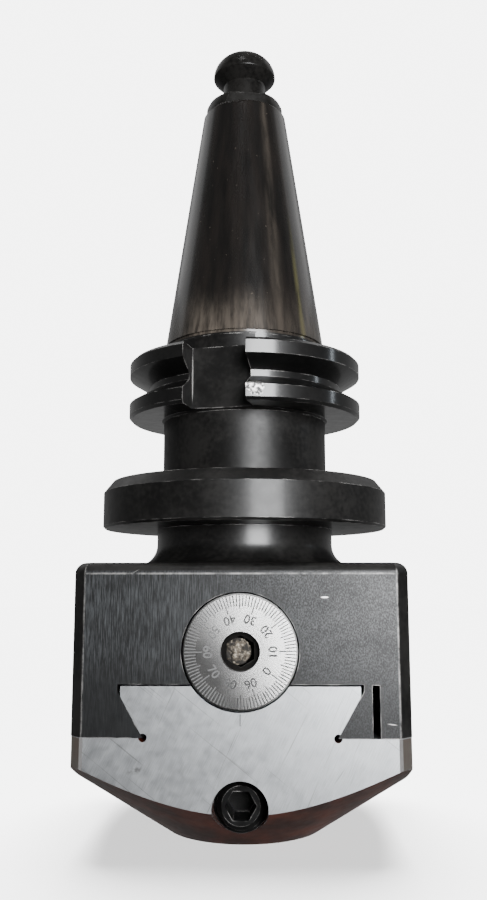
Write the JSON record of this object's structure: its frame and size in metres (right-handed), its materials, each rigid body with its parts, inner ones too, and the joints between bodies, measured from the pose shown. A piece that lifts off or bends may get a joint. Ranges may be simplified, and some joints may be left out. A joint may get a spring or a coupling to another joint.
{
  "type": "boring head",
  "caption": "Dovetail-slide boring head on a steep-taper V-flange arbor, with a graduated lead-screw dial, gib and lock screws and a clamped tool bore.",
  "frame": {"origin": "on the arbor's axis at the gauge line of its taper", "axes": "+Z along the arbor towards the retention knob, -Y to the dial side, +X to the side with the flexure slit and gib screws"},
  "size_m": [0.078, 0.0762, 0.2159],
  "materials": {
    "arbor_steel": "black oxide over ground steel",
    "knob_steel": "black oxide",
    "body_steel": "black oxide over ground faces, worn at the edges",
    "slide_steel": "bare ground steel",
    "dial_chrome": "satin",
    "lead_steel": "turned steel",
    "bronze": "turned",
    "screw_steel": "black oxide"
  },
  "bodies": {
    "head": {"taper_arbor": "arbor_steel", "retention_knob": "knob_steel", "head_body": "body_steel", "lead_nut": "bronze", "nut_set_screw": "screw_steel", "arbor_lock_screw": "screw_steel", "arbor_lock_pad": "bronze"},
    "slide": {"tool_slide": "slide_steel"},
    "dial": {"dial_ring": "dial_chrome", "lead_screw": "lead_steel", "dial_pin": "lead_steel"},
    "clamp": {"front_clamp_screw": "screw_steel"},
    "gib_front": {"gib_screw_front": "screw_steel"},
    "gib_back": {"gib_screw_back": "screw_steel"},
    "lock": {"slide_lock_screw": "screw_steel"}
  },
  "joints": [
    {"name": "slide_travel", "type": "slide", "parent": "head", "child": "slide", "axis": [0, -1, 0], "range_m": [-0.00254, 0.0127]},
    {"name": "dial_turn", "type": "hinge", "parent": "slide", "child": "dial", "pos_m": [0, -0.03572, -0.07878], "axis": [0, 1, 0], "range_deg": [-720.5, 3600.5]},
    {"name": "clamp_travel", "type": "slide", "parent": "slide", "child": "clamp", "axis": [0, -1, 0], "range_m": [-0.004, 0.006]},
    {"name": "gib_front_travel", "type": "slide", "parent": "head", "child": "gib_front", "axis": [1, 0, 0], "range_m": [0, 0.0015]},
    {"name": "gib_back_travel", "type": "slide", "parent": "head", "child": "gib_back", "axis": [1, 0, 0], "range_m": [0, 0.0015]},
    {"name": "lock_travel", "type": "slide", "parent": "head", "child": "lock", "axis": [1, 0, 0], "range_m": [0, 0.002]}
  ],
  "couplings": [
    {"joint": "dial_turn", "follows": "slide_travel", "rad_per_m": 4947.4}
  ]
}
